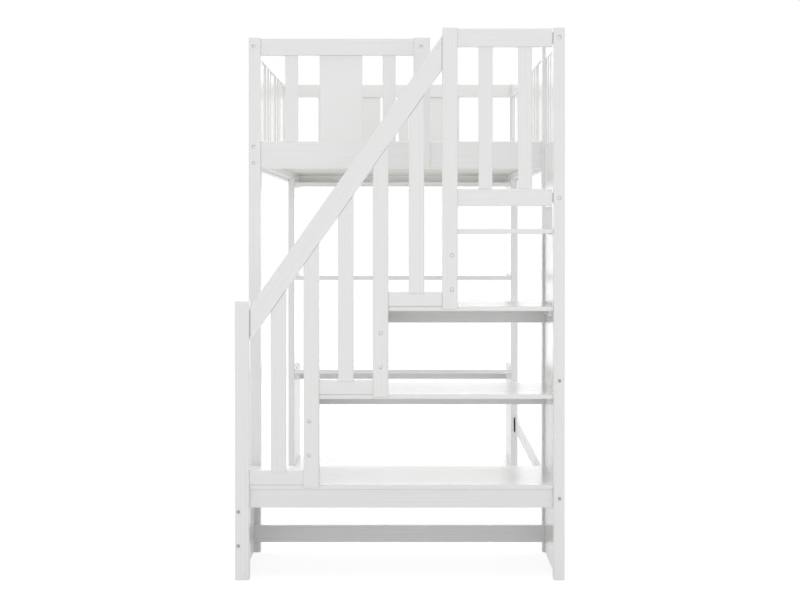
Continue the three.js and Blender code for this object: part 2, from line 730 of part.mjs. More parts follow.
function addBookcase(group) {
  const y = [0, caseDepth];
  for (const [side, sign] of Object.entries(bedSides)) {
    const x = [sign * caseInner, sign * caseOuter].sort((a, b) => a - b);
    const board = stick({ x, y, z: [0, ledgerBottom - fit] }, 'z');
    const cleatX = [sign * (caseInner - caseCleatThickness), sign * (caseInner + edgeRadius)];
    const cleats = shelfTops.slice(0, 2).map((top) => stick({
      x: [...cleatX].sort((a, b) => a - b),
      y: [cleatInset, caseDepth - backRailThickness - cleatInset],
      z: [top - shelfThickness - fit - caseCleatHeight, top - shelfThickness - fit],
    }, 'y'));
    const notch = block({
      x: [wallStretcherX[0] - notchRoom, caseOuter + cutPast], y: grow(y, cutPast),
      z: [wallStretcherZ[0] - fit, wallStretcherZ[1] + notchHeadroom],
    });
    const whole = join(board, ...cleats);
    add(group, `bookcase_side_${side}`, side === 'right' ? cut(whole, notch) : whole);
  }

  const shelfX = [-caseInner + fit, caseInner - fit];
  const topBoardTop = ledgerBottom - topBoardDrop;
  ['shelf_low', 'shelf_middle', 'shelf_upper', 'shelf_top'].forEach((name, index) => {
    const top = [...shelfTops, topBoardTop][index];
    const shelf = stick({ x: shelfX, y, z: [top - shelfThickness, top] }, 'x');
    if (name !== 'shelf_middle') {
      add(group, name, shelf);
      return;
    }
    // The middle shelf is stiffened by a rail glued under its rear edge.
    const rail = stick({
      x: shelfX, y: [caseDepth - backRailThickness, caseDepth],
      z: [top - shelfThickness - backRailHeight, top - shelfThickness + edgeRadius],
    }, 'x');
    add(group, name, join(shelf, rail));
  });
}

function addWallStretcher(group) {
  add(group, 'wall_side_stretcher', stick({
    x: wallStretcherX, y: betweenPostsY, z: wallStretcherZ,
  }, 'y'));
}

const bedAssembly = new THREE.Group();

const staircase = new THREE.Group();
staircase.position.y = -overallLength / 2;
addStairPosts(staircase);
addStepGuards(staircase);
addTreads(staircase);
addStairBoards(staircase);
addLandingGuards(staircase);
bedAssembly.add(staircase);

const bed = new THREE.Group();
bed.position.y = stairDepth - overallLength / 2;
addBedPosts(bed);
addBedEnd(
  bed, 'near', nearRailY, ['slat', 'panel', 'slat'], nearGaps,
  [betweenBedPosts[0], gateLeft], [endRailX[0], gateLeft + gateRailHousing]);
addGatePost(bed);
addBedEnd(
  bed, 'far', farRailY, ['slat', 'panel', 'slat', 'panel', 'slat'], farGaps,
  betweenBedPosts, endRailX);
addBedSide(bed, 'left', -1);
addBedSide(bed, 'right', 1);
addSlatBase(bed);
addWallStretcher(bed);
bedAssembly.add(bed);

const bookcase = new THREE.Group();
bookcase.position.y = overallLength / 2 - bedPostDepth - fit - caseDepth;
addBookcase(bookcase);
bedAssembly.add(bookcase);

export default bedAssembly;
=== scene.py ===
import math

import bmesh
import bpy
import numpy as np
from bpy.props import FloatProperty, FloatVectorProperty, IntProperty, PointerProperty
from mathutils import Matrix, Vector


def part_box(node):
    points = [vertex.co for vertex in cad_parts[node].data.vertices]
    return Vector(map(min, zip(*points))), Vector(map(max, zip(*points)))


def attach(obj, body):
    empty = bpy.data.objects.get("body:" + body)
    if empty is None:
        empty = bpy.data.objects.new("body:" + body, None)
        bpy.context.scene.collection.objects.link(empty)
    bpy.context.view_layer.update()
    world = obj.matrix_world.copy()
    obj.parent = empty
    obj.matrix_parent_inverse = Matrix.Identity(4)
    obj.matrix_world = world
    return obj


# White loft bed with a storage staircase: the finish of its lumber and boards, its bolts,
# nut caps, screws and slat tape, and the floor, lamps and camera of a plain white studio.
# Metres, +Z up. +Y runs from the staircase to the bookcase, and +X is the wall side.

bl_info = {
    "name": "White loft bed with storage staircase",
    "version": (1, 0, 0),
    "blender": (4, 5, 0),
    "location": "3D View > Sidebar > Loft Bed",
    "description": "Finishes, fittings, lamps and camera for a painted wooden loft bed",
    "category": "Object",
}

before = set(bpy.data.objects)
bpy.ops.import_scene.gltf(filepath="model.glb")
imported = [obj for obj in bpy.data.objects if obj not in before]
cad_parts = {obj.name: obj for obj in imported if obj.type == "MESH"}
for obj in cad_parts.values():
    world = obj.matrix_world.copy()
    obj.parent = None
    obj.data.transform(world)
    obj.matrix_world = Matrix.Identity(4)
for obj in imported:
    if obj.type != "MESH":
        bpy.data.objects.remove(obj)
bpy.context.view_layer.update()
BODY = "root"
MM = 0.001


# Colours and nodes


def linear(code):
    """The linear colour of an sRGB hex code: each channel c is ((c + 0.055) / 1.055) ** 2.4."""
    parts = [int(code[at:at + 2], 16) / 255 for at in (0, 2, 4)]
    low = [part / 12.92 for part in parts]
    high = [((part + 0.055) / 1.055) ** 2.4 for part in parts]
    return tuple(a if part <= 0.04045 else b for part, a, b in zip(parts, low, high))


def add_node(tree, kind, inputs=None, **settings):
    """Adds a node with its settings. An input takes a value, or a link from another output."""
    node = tree.nodes.new(kind)
    for name, value in settings.items():
        setattr(node, name, value)
    for name, value in (inputs or {}).items():
        socket = node.inputs[name]
        if isinstance(value, bpy.types.NodeSocket):
            tree.links.new(value, socket)
        else:
            socket.default_value = value
    return node


def new_material(name):
    """A node material with its shader, and the object coordinates that its patterns read."""
    material = bpy.data.materials.new(name)
    material.use_nodes = True
    tree = material.node_tree
    shader = tree.nodes["Principled BSDF"]
    place = add_node(tree, "ShaderNodeTexCoord").outputs["Object"]
    return material, tree, shader, place


def noise(tree, place, turn, size, detail, warp=0.0):
    """Cloudy noise whose patches have the given size in metres along the turned axes."""
    fitted = add_node(
        tree, "ShaderNodeMapping", {"Vector": place, "Rotation": turn, "Scale": size},
        vector_type="TEXTURE")
    return add_node(tree, "ShaderNodeTexNoise", {
        "Vector": fitted.outputs["Vector"], "Scale": 1.0, "Detail": detail,
        "Roughness": 0.55, "Distortion": warp,
    }).outputs["Fac"]


def ranged(tree, value, low, high):
    """A noise value spread over a range of a shader's input."""
    return add_node(tree, "ShaderNodeMapRange", {
        "Value": value, "From Min": 0.3, "From Max": 0.7, "To Min": low, "To Max": high,
    }).outputs["Result"]


def mixed(tree, value, first, second):
    """A colour between two, by a noise value."""
    factor = ranged(tree, value, 0.0, 1.0)
    return add_node(tree, "ShaderNodeMix", {
        "Factor": factor, "A": (*first, 1.0), "B": (*second, 1.0)},
        data_type="RGBA").outputs["Result"]


def bumped(tree, value, depth, below=None):
    """A surface normal from a height of so many metres, on top of another normal."""
    inputs = {"Height": value, "Distance": depth, "Strength": 1.0}
    if below is not None:
        inputs["Normal"] = below
    return add_node(tree, "ShaderNodeBump", inputs).outputs["Normal"]


# Finishes


ALONG_X = (0.0, 0.0, 0.0)
ALONG_Y = (0.0, 0.0, math.pi / 2)
ALONG_Z = (0.0, -math.pi / 2, 0.0)

GRAIN_DEPTH = 0.008 * MM  # ridges that the growth rings leave in the lacquer
PEEL_DEPTH = 0.012 * MM  # orange peel of the spray
LUMBER_GLOSS, BOARD_GLOSS, DULL_GLOSS = 0.26, 0.2, 0.5  # least roughness of each coat
GLOSS_SPREAD = 0.05  # how much rougher a coat is at its dullest


def within(tree, place, levels, inside, outside):
    """A vector that is one value between two heights of the object, and another elsewhere."""
    height = add_node(tree, "ShaderNodeSeparateXYZ", {"Vector": place}).outputs["Z"]
    over = add_node(tree, "ShaderNodeMath", {0: height, 1: levels[0]}, operation="GREATER_THAN")
    under = add_node(tree, "ShaderNodeMath", {0: height, 1: levels[1]}, operation="LESS_THAN")
    both = add_node(tree, "ShaderNodeMath", {0: over.outputs[0], 1: under.outputs[0]},
                    operation="MULTIPLY")
    return add_node(tree, "ShaderNodeMix", {
        "Factor": both.outputs[0], "A": outside, "B": inside},
        data_type="VECTOR").outputs["Result"]


def white_lacquer(name, turn, grain, gloss, slats=None):
    """Satin white lacquer, sprayed on planed pine or, where the grain is nought, on board.

    The spray leaves a fine orange peel. On pine the lacquer sinks a little between the growth
    rings, so long faint ridges run with the grain and its white is not quite even. In a glued
    frame the grain stands upright between the two heights of its slats.
    """
    finish = bpy.context.scene.bed_finish
    material, tree, shader, place = new_material(name)
    if slats:
        ways = [add_node(tree, "ShaderNodeMapping", {"Vector": place, "Rotation": way},
                         vector_type="TEXTURE").outputs["Vector"] for way in (ALONG_Z, turn)]
        grain_place, turn = within(tree, place, slats, *ways), ALONG_X
    else:
        grain_place = place
    if grain:
        # growth rings 3 to 8 mm apart, long streaks with the grain; drawn wider than real pores
        rings = noise(tree, grain_place, turn, (0.42, 6.5 * MM, 6.5 * MM), 3.0, 0.35)
        streaks = noise(tree, grain_place, turn, (0.9, 28 * MM, 28 * MM), 2.0, 0.6)
    else:
        rings = noise(tree, place, turn, (60 * MM, 60 * MM, 60 * MM), 3.0)
        streaks = noise(tree, place, turn, (0.35, 0.35, 0.35), 2.0)
    # real orange peel is about 1 mm across, and is drawn at 5 mm so that it shows
    peel = noise(tree, place, ALONG_X, (5 * MM, 5 * MM, 5 * MM), 1.0)
    tone = mixed(tree, streaks, finish.lacquer, finish.lacquer_shade)
    tree.links.new(tone, shader.inputs["Base Color"])
    tree.links.new(ranged(tree, rings, gloss, gloss + GLOSS_SPREAD), shader.inputs["Roughness"])
    normal = bumped(tree, peel, PEEL_DEPTH)
    if grain:
        normal = bumped(tree, rings, grain, normal)
    tree.links.new(normal, shader.inputs["Normal"])
    shader.inputs["IOR"].default_value = 1.5
    return material


def set_material(piece, material):
    """The piece shows one material."""
    piece.data.materials.clear()
    piece.data.materials.append(material)


def dress(names, material):
    """The named CAD nodes show one material."""
    for name in names:
        set_material(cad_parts[name], material)


def nodes_named(*starts):
    """The CAD nodes whose names start with one of the given words."""
    return [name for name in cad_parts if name.startswith(starts)]


# Shapes worked out as grids of points


FACINGS = {  # where a fitting's own x, y and z point when it looks out of a surface
    "front": ((1, 0, 0), (0, 0, 1), (0, -1, 0)),
    "rear": ((-1, 0, 0), (0, 0, 1), (0, 1, 0)),
    "right": ((0, 1, 0), (0, 0, 1), (1, 0, 0)),
    "left": ((0, -1, 0), (0, 0, 1), (-1, 0, 0)),
    "up": ((1, 0, 0), (0, 1, 0), (0, 0, 1)),
}


def grid_faces(rows, columns):
    """Four-sided faces of a grid of points whose last column joins its first."""
    row, column = np.meshgrid(np.arange(rows - 1), np.arange(columns), indexing="ij")
    beside = (column + 1) % columns
    corners = (row * columns + column, row * columns + beside,
               (row + 1) * columns + beside, (row + 1) * columns + column)
    return np.stack(corners, axis=-1).reshape(-1, 4)


def turned(rings, steps):
    """A turned fitting: ring k is the curve (r cos a, r sin a, h) with its radius r and height h.

    A third value from 0 to 1 bends the ring to a hexagon, whose radius at angle a is
    r cos 30 / cos((a mod 60) - 30), and a fourth to a cross, whose radius is
    r (0.42 + 0.58 cos(2a) ** 6). Rings run from the middle underneath, outwards, up and back in.
    """
    angle = np.arange(steps) * 2 * math.pi / steps
    sixth = math.pi / 3
    hexagon = math.cos(sixth / 2) / np.cos(angle % sixth - sixth / 2)
    cross = 0.42 + 0.58 * np.cos(2 * angle) ** 6
    radius, height, hexed, crossed = np.array(rings, float).T[:, :, None]
    radius = radius * (1 + hexed * (hexagon - 1)) * (1 + crossed * (cross - 1))
    points = np.stack(
        [radius * np.cos(angle), radius * np.sin(angle), height + 0 * angle], axis=-1)
    return points.reshape(-1, 3), grid_faces(len(rings), steps)


def placed(shape, places, facing):
    """One fitting set down at many places: each point p goes to place + p times the facing."""
    points, faces = shape
    turned_points = points @ np.array(FACINGS[facing], float)
    places = np.array(places, float)
    all_points = (places[:, None, :] + turned_points[None, :, :]).reshape(-1, 3)
    shift = np.arange(len(places))[:, None, None] * len(points)
    return all_points, (faces[None, :, :] + shift).reshape(-1, faces.shape[1])


def together(*shapes):
    """Several shapes as one list of points and one of faces."""
    points, faces, count = [], [], 0
    for shape_points, shape_faces in shapes:
        points.append(shape_points)
        faces.append(shape_faces + count)
        count += len(shape_points)
    return np.concatenate(points), np.concatenate(faces)


def make_piece(name, shape, material, smooth_angle=math.radians(40)):
    """A mesh from points and faces, its seams and poles merged, that rides on the bed."""
    points, faces = shape
    mesh = bpy.data.meshes.new(name)
    mesh.from_pydata(points.tolist(), [], faces.tolist())
    work = bmesh.new()
    work.from_mesh(mesh)
    bmesh.ops.remove_doubles(work, verts=work.verts, dist=1e-6)
    bmesh.ops.recalc_face_normals(work, faces=work.faces)
    work.to_mesh(mesh)
    work.free()
    mesh.shade_smooth()
    mesh.set_sharp_from_angle(angle=smooth_angle)
    piece = bpy.data.objects.new(name, mesh)
    bpy.context.scene.collection.objects.link(piece)
    set_material(piece, material)
    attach(piece, BODY)
    return piece


# Places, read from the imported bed


def low(node):
    """The corner of a piece's box with the least x, y and z."""
    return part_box(node)[0]


def high(node):
    """The corner of a piece's box with the greatest x, y and z."""
    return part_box(node)[1]


STAIR_FRONT = low("newel_post").y
BED_FRONT = low("bed_post_near_left").y
BED_REAR = high("bed_post_far_left").y

STAIR_DROPS = (85 * MM, 195 * MM)  # the tread over each stair post down to its two bolts
WALL_POST_BOLTS = (0.264, 0.645)  # heights of the bolts into the wall panel
WALL_BOARD_BOLT = 25 * MM  # up from the lower edge of the landing's wide board
BED_BOLT_SPREAD = 28.5 * MM  # each bolt up or down from the middle of a bed rail
GATE_BOLT_REACH = 26 * MM  # from the gate post's left face to its bolt
HANDRAIL_END = 0.12  # about the upright height of the handrail's sawn end
POST_DEPTH = 45 * MM  # of the staircase's posts and the bed's
LEDGE = 22 * MM  # how far the ledgers stand in from the side rails
SLAT_WIDTH, SLAT_COUNT = 70 * MM, 14
STRAP_PROUD = 0.8 * MM  # the straps of the CAD slats stand this far over the slats
SLAT_CLEARANCE = 0.3 * MM  # between a slat's end and the guard
TAPE_INSET = 0.19  # from a slat's end to the middle of a tape
RISER_BOARDS = {"stair_side_board": "tread_1", "riser_board_1": "tread_2",
                "riser_board_2": "tread_3", "riser_board_3": "landing_tread"}


def centre(node):
    """The middle of a piece's box."""
    low_corner, high_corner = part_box(node)
    return (low_corner + high_corner) / 2


def riser_levels(board):
    """Heights of the two bolts that pull a board under a tread against its post."""
    return [high(RISER_BOARDS[board]).z - drop for drop in STAIR_DROPS]


def wall_levels():
    """Heights of the bolts from the wall post into the wall panel and the landing's guard."""
    return (*WALL_POST_BOLTS, low("landing_wall_guard").z + WALL_BOARD_BOLT,
            centre("landing_top_rail").z)


def bed_levels():
    """Heights of the bolts in a bed post: one in the guard rail and two in the bed rail."""
    rail = centre("near_bed_rail").z
    return centre("near_top_rail").z, rail + BED_BOLT_SPREAD, rail - BED_BOLT_SPREAD


# Sizes and colours that a user may change


def size(name, description, default, **more):
    return FloatProperty(
        name=name, description=description, default=default, unit="LENGTH", **more)


def colour(name, description, code):
    return FloatVectorProperty(
        name=name, description=description, default=linear(code), subtype="COLOR",
        min=0.0, max=1.0)


def power(name, description, default):
    return FloatProperty(
        name=name, description=description, default=default, unit="POWER", min=0.0)


class BedFinish(bpy.types.PropertyGroup):
    """Colours of the bed's finishes."""

    lacquer: colour("Lacquer", "White of the lacquer", "F3F3F3")
    lacquer_shade: colour("Lacquer shade", "White where the lacquer sinks in", "F1F1F0")
    primer: colour("Slats", "White primer of the bed slats", "EFEEEA")
    primer_shade: colour("Slat shade", "Primer where the grain shows through", "E6E3DB")
    tape: colour("Slat tape", "Webbing that joins the slats", "E4E1D8")
    steel: colour("Small bolts", "Darkened zinc of the small bolts", "AEAFB2")
    bright_steel: colour("Bolts and staples", "Plain zinc of bolts, nuts and staples", "D4D4D6")
    cap: colour("Nut caps", "White plastic of the nut caps", "F2F2F0")


class BedFittings(bpy.types.PropertyGroup):
    """Sizes of the bed's fittings."""

    bolt_radius: size("Bolt head radius", "Outer radius of a bolt head", 6.3 * MM)
    small_bolt_radius: size("Small bolt radius", "Radius of a small bolt head", 4.4 * MM)
    bolt_height: size("Bolt head height", "Height of a bolt head", 2.6 * MM)
    bolt_socket: size("Bolt socket", "Radius of a bolt's socket over its corners", 3.1 * MM)
    small_socket: size("Small bolt socket", "The same on a small bolt", 2.3 * MM)
    bore_depth: size("Counterbore depth", "Depth of the holes that the bolts sit in", 4.0 * MM)
    nut_radius: size("Barrel nut radius", "Radius of a barrel nut's end", 4.7 * MM)
    cap_radius: size("Nut cap radius", "Radius of the cap over a barrel nut", 7.0 * MM)
    cap_height: size("Nut cap height", "How far a nut cap stands out", 1.5 * MM)
    screw_radius: size("Screw head radius", "Radius of a screw head", 3.8 * MM)
    tape_width: size("Slat tape width", "Width of the tape that joins the slats", 31 * MM)
    tape_thickness: size("Slat tape thickness", "Thickness of the slat tape", 2.2 * MM)
    staple_length: size("Staple length", "Length of a staple's back", 11 * MM)
    steps: IntProperty(
        name="Steps round", description="Points round a turned fitting", default=36, min=12)


class BedStudio(bpy.types.PropertyGroup):
    """Camera and lamps."""

    distance: size("Camera distance", "Camera to the front of the staircase", 5.58)
    height: size("Camera height", "Camera above the floor", 1.143)
    across: size("Camera side", "Camera to the right of the bed's middle", 0.034)
    lens: FloatProperty(
        name="Lens", description="Focal length on a 36 mm sensor", default=77.74, min=1.0,
        unit="CAMERA")
    shift_x: FloatProperty(
        name="Shift across", description="Share of the picture's width", default=-0.0129)
    shift_y: FloatProperty(
        name="Shift up", description="Share of the picture's width", default=-0.09175)
    sky: FloatProperty(
        name="Room light", description="Strength of the even light", default=0.56, min=0.0)
    top: power("Top lamp", "Power of the soft lamp overhead", 130)
    front: power("Front lamp", "Power of the soft lamp by the camera", 65)
    rear_left: power("Rear left lamp", "Power of the soft lamp behind, on the left", 50)
    rear_right: power("Rear right lamp", "Power of the soft lamp behind, on the right", 30)
    rear: power("Rear lamp", "Power of the glowing screen behind the bed", 25)


# Operators


class LOFTBED_OT_lumber(bpy.types.Operator):
    """Finishes posts, rails and slats as lacquered pine, its grain along each piece"""

    bl_idname = "loftbed.lumber"
    bl_label = "Lacquered Lumber"

    def execute(self, context):
        grain, gloss = GRAIN_DEPTH, LUMBER_GLOSS
        upright = white_lacquer("satin_lacquer_on_pine_upright", ALONG_Z, grain, gloss)
        across = white_lacquer("satin_lacquer_on_pine_across", ALONG_X, grain, gloss)
        lengthwise = white_lacquer("satin_lacquer_on_pine_lengthwise", ALONG_Y, grain, gloss)
        rail_low, rail_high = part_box("handrail")
        rise = (rail_high.z - rail_low.z - HANDRAIL_END) / (rail_high.x - rail_low.x)
        sloping = white_lacquer(
            "satin_lacquer_on_pine_sloping", (0.0, -math.atan(rise), 0.0), grain, gloss)
        dress(nodes_named(
            "newel_post", "stair_post", "stair_wall_post", "bed_post", "gate_post",
            "baluster", "near_slat", "far_slat", "landing_slat"), upright)
        dress(nodes_named(
            "toe_rail", "tread_rear_rail", "tread_apron", "landing_top_rail",
            "landing_bottom_rail", "stair_base_stretcher", "near_bed_rail", "far_bed_rail",
            "near_top_rail", "far_top_rail"), across)
        dress(["wall_side_stretcher"], lengthwise)
        # the long rails have a duller coat, which mirrors the white room less when seen edge-on
        dress(nodes_named("side_rail"), white_lacquer(
            "dull_lacquer_on_pine_lengthwise", ALONG_Y, grain, DULL_GLOSS))
        dress(["handrail"], sloping)
        # glued frames, whose slats stand between the rail and what is under them
        guards = ["side_guard_left", "side_guard_right"]
        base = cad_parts[guards[0]].matrix_world.translation.z
        levels = [low(guards[0]).z - MM - base, low("near_top_rail").z - base]
        dress(guards, white_lacquer(
            "satin_lacquer_on_pine_guards", ALONG_Y, grain, gloss, levels))
        return {"FINISHED"}


class LOFTBED_OT_boards(bpy.types.Operator):
    """Finishes treads, shelves, panels and side boards as lacquered board"""

    bl_idname = "loftbed.boards"
    bl_label = "Lacquered Boards"

    def execute(self, context):
        board = white_lacquer("satin_lacquer_on_board", ALONG_X, 0.0, BOARD_GLOSS)
        dress(nodes_named(
            "tread_1", "tread_2", "tread_3", "landing_tread", "riser_board",
            "stair_side_board", "stair_wall_panel", "landing_wall_guard", "near_panel",
            "far_panel", "bookcase_side", "shelf"), board)
        return {"FINISHED"}


class LOFTBED_OT_slats(bpy.types.Operator):
    """Finishes the bed slats as primed softwood"""

    bl_idname = "loftbed.slats"
    bl_label = "Primed Slats"

    def execute(self, context):
        finish = context.scene.bed_finish
        # rolled white primer on sawn spruce: flat, thin, the grain plain to see along a slat
        material, tree, shader, place = new_material("primed_spruce")
        rings = noise(tree, place, ALONG_X, (0.5, 7 * MM, 7 * MM), 4.0, 0.5)
        fibres = noise(tree, place, ALONG_X, (0.06, 1.6 * MM, 1.6 * MM), 2.0)
        tone = mixed(tree, rings, finish.primer, finish.primer_shade)
        tree.links.new(tone, shader.inputs["Base Color"])
        tree.links.new(ranged(tree, fibres, 0.55, 0.7), shader.inputs["Roughness"])
        normal = bumped(tree, fibres, 0.06 * MM, bumped(tree, rings, 0.2 * MM))
        tree.links.new(normal, shader.inputs["Normal"])
        dress(["slat_base"], material)
        return {"FINISHED"}


def metal(name, shade, roughness):
    """Zinc-plated steel: a fine even sheen with small dull patches from handling."""
    material, tree, shader, place = new_material(name)
    # the plating's patches are a few millimetres across
    patches = noise(tree, place, ALONG_X, (3 * MM, 3 * MM, 3 * MM), 3.0)
    tone = mixed(tree, patches, shade, tuple(0.82 * part for part in shade))
    tree.links.new(tone, shader.inputs["Base Color"])
    tree.links.new(ranged(tree, patches, roughness, roughness + 0.12),
                   shader.inputs["Roughness"])
    shader.inputs["Metallic"].default_value = 1.0
    return material


class LOFTBED_OT_bolts(bpy.types.Operator):
    """Sets a bolt with a six-sided socket in each counterbore of the posts"""

    bl_idname = "loftbed.bolts"
    bl_label = "Bolts"

    def execute(self, context):
        sizes, finish = context.scene.bed_fittings, context.scene.bed_finish
        sunk = sizes.bore_depth
        sides = [centre("side_guard_left").x, centre("side_guard_right").x]
        boards = [[(centre(board).x, STAIR_FRONT + sunk, z) for z in riser_levels(board)]
                  for board in RISER_BOARDS]
        wall = [(sides[1], STAIR_FRONT + sunk, z) for z in wall_levels()]
        # the panels that stand on the floor are pulled up by the small bolts
        panels, staircase = boards[0] + wall[:2], sum(boards[1:], []) + wall[2:]
        near = [(x, BED_FRONT + sunk, z) for x in sides for z in bed_levels()]
        near.append((low("gate_post").x + GATE_BOLT_REACH, BED_FRONT + sunk, bed_levels()[0]))
        far = [(x, BED_REAR - sunk, z) for x in sides for z in bed_levels()]
        dark = metal("darkened_zinc_bolts", finish.steel, 0.34)
        bright = metal("zinc_bolts", finish.bright_steel, 0.38)
        small = self.bolt(sizes, sizes.small_bolt_radius, sizes.small_socket)
        large = self.bolt(sizes, sizes.bolt_radius, sizes.bolt_socket)
        make_piece("bolts_panels", placed(small, panels, "front"), dark)
        make_piece("bolts_staircase", placed(large, staircase, "front"), bright)
        make_piece("bolts_bed_near", placed(large, near, "front"), bright)
        make_piece("bolts_bed_far", placed(large, far, "rear"), bright)
        return {"FINISHED"}

    def bolt(self, sizes, outer, socket):
        """A low dome: its height falls as the square of the distance from its socket."""
        tall, crown = sizes.bolt_height, 0.9 * MM
        lip, wall, floor = 0.15 * MM, 1.9 * MM, 2.2 * MM  # of the socket, down from the crown
        dome = [(socket + share * (outer - socket), tall - crown * share ** 2, 1 - share, 0)
                for share in (0.12, 0.35, 0.6, 0.8, 0.95, 1.0)]
        rings = [(0, 0, 0, 0), (outer, 0, 0, 0)]
        rings += dome[::-1]
        rings += [(socket, tall - lip, 1, 0), (socket, tall - wall, 1, 0),
                  (0, tall - floor, 0, 0)]
        return turned(rings, sizes.steps)


class LOFTBED_OT_nuts(bpy.types.Operator):
    """Sets a barrel nut in the side of each post that stands on a tread"""

    bl_idname = "loftbed.nuts"
    bl_label = "Barrel Nuts"

    def execute(self, context):
        sizes = context.scene.bed_fittings
        radius = sizes.nut_radius
        rings = [(0, -4 * MM, 0, 0), (radius, -4 * MM, 0, 0), (radius, -0.3 * MM, 0, 0),
                 (radius - 0.3 * MM, 0, 0, 0), (0.72 * radius, 0, 0, 1),
                 (0.7 * radius, -1.2 * MM, 0, 1), (0, -1.3 * MM, 0, 0)]
        inside, over_tread = 1.5 * MM, 22 * MM
        posts = {"stair_post_low": "tread_1", "stair_post_mid": "tread_2",
                 "stair_post_high": "tread_3"}
        places = [(high(post).x - inside, centre(post).y, high(step).z + over_tread)
                  for post, step in posts.items()]
        zinc = metal("zinc_barrel_nuts", context.scene.bed_finish.bright_steel, 0.3)
        make_piece("barrel_nuts", placed(turned(rings, sizes.steps), places, "right"), zinc)
        return {"FINISHED"}


def cap_places():
    """Each cap sits on an inner face, 35 mm in from the end of the piece that the bolt pulls."""
    reach = 35 * MM
    stair_y = STAIR_FRONT + POST_DEPTH + reach
    on_right = [(high(board).x, stair_y, z) for board in RISER_BOARDS
                for z in riser_levels(board)]
    on_left = [(low("landing_wall_guard").x, stair_y, z) for z in wall_levels()]
    for y in (BED_FRONT + POST_DEPTH + reach, BED_REAR - POST_DEPTH - reach):
        for z, inset in zip(bed_levels(), (0.0, 0.0, LEDGE)):
            on_right.append((high("side_guard_left").x + inset, y, z))
            on_left.append((low("side_guard_right").x - inset, y, z))
    return on_right, on_left


class LOFTBED_OT_caps(bpy.types.Operator):
    """Presses a white cap over each hidden barrel nut on the inner faces"""

    bl_idname = "loftbed.caps"
    bl_label = "Nut Caps"

    def execute(self, context):
        sizes = context.scene.bed_fittings
        # a shallow cap: its height is that of a quarter ellipse over its radius
        share = np.linspace(0, 1, 7)
        dome = [(sizes.cap_radius * math.cos(s * math.pi / 2),
                 0.3 * MM + (sizes.cap_height - 0.3 * MM) * math.sin(s * math.pi / 2), 0, 0)
                for s in share]
        rings = [(0, -0.5 * MM, 0, 0), (sizes.cap_radius, -0.5 * MM, 0, 0)] + dome
        cap = turned(rings, sizes.steps)
        on_right, on_left = cap_places()
        # injection-moulded polyethylene: smooth and slightly waxy
        material, tree, shader, place = new_material("moulded_white_polyethylene")
        haze = noise(tree, place, ALONG_X, (2 * MM, 2 * MM, 2 * MM), 2.0)
        tree.links.new(ranged(tree, haze, 0.36, 0.46), shader.inputs["Roughness"])
        shader.inputs["Base Color"].default_value = (*context.scene.bed_finish.cap, 1.0)
        shader.inputs["IOR"].default_value = 1.51
        make_piece("nut_caps", together(
            placed(cap, on_right, "right"), placed(cap, on_left, "left")), material)
        return {"FINISHED"}


class LOFTBED_OT_screws(bpy.types.Operator):
    """Drives screws through the end slats and the cleats"""

    bl_idname = "loftbed.screws"
    bl_label = "Screws"

    def execute(self, context):
        sizes = context.scene.bed_fittings
        radius = sizes.screw_radius
        rings = [(0, -0.5 * MM, 0, 0), (radius, -0.5 * MM, 0, 0), (radius, 0.3 * MM, 0, 0),
                 (0.85 * radius, 1.0 * MM, 0, 0), (0.62 * radius, 1.3 * MM, 0, 0),
                 (0.6 * radius, 1.35 * MM, 0, 1), (0.5 * radius, 0.1 * MM, 0, 1),
                 (0, 0, 0, 0)]
        screw = turned(rings, sizes.steps)
        slats_low, slats_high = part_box("slat_base")
        inset, half_slat = 11 * MM, SLAT_WIDTH / 2
        on_slats = [(x, y, slat_top()) for x in (slats_low.x + inset, slats_high.x - inset)
                    for y in (slats_low.y + half_slat, slats_high.y - half_slat)]
        wall_cleat = low("stair_wall_panel").x
        tread_y = [STAIR_FRONT + reach for reach in (0.10, 0.24, 0.38)]
        under_tread, under_low, under_middle = 9 * MM, 13 * MM, 30 * MM  # down to the screws
        on_left = [(wall_cleat, y, low(f"tread_{count}").z - under_tread)
                   for count in (1, 2, 3) for y in tread_y]
        case_y = [low("shelf_low").y + reach for reach in (0.05, 0.2, 0.35)]
        levels = [low("shelf_low").z - under_low, high("shelf_middle").z - under_middle]
        on_left += [(low("bookcase_side_right").x, y, z) for y in case_y for z in levels]
        on_right = [(high("bookcase_side_left").x, y, z) for y in case_y for z in levels]
        zinc = metal("zinc_screws", context.scene.bed_finish.bright_steel, 0.28)
        make_piece("slat_screws", placed(screw, on_slats, "up"), zinc)
        make_piece("cleat_screws", together(
            placed(screw, on_left, "left"), placed(screw, on_right, "right")), zinc)
        return {"FINISHED"}


def slat_top():
    """Height of the bed slats' upper faces."""
    return high("slat_base").z - STRAP_PROUD


def tape_sides():
    """Where the two tapes run, left and right of the bed's middle."""
    left = high("side_guard_left").x + SLAT_CLEARANCE + TAPE_INSET
    return left, -left


def slat_middles():
    """The middle of each bed slat along the bed."""
    slats_low, slats_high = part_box("slat_base")
    return np.linspace(
        slats_low.y + SLAT_WIDTH / 2, slats_high.y - SLAT_WIDTH / 2, SLAT_COUNT)


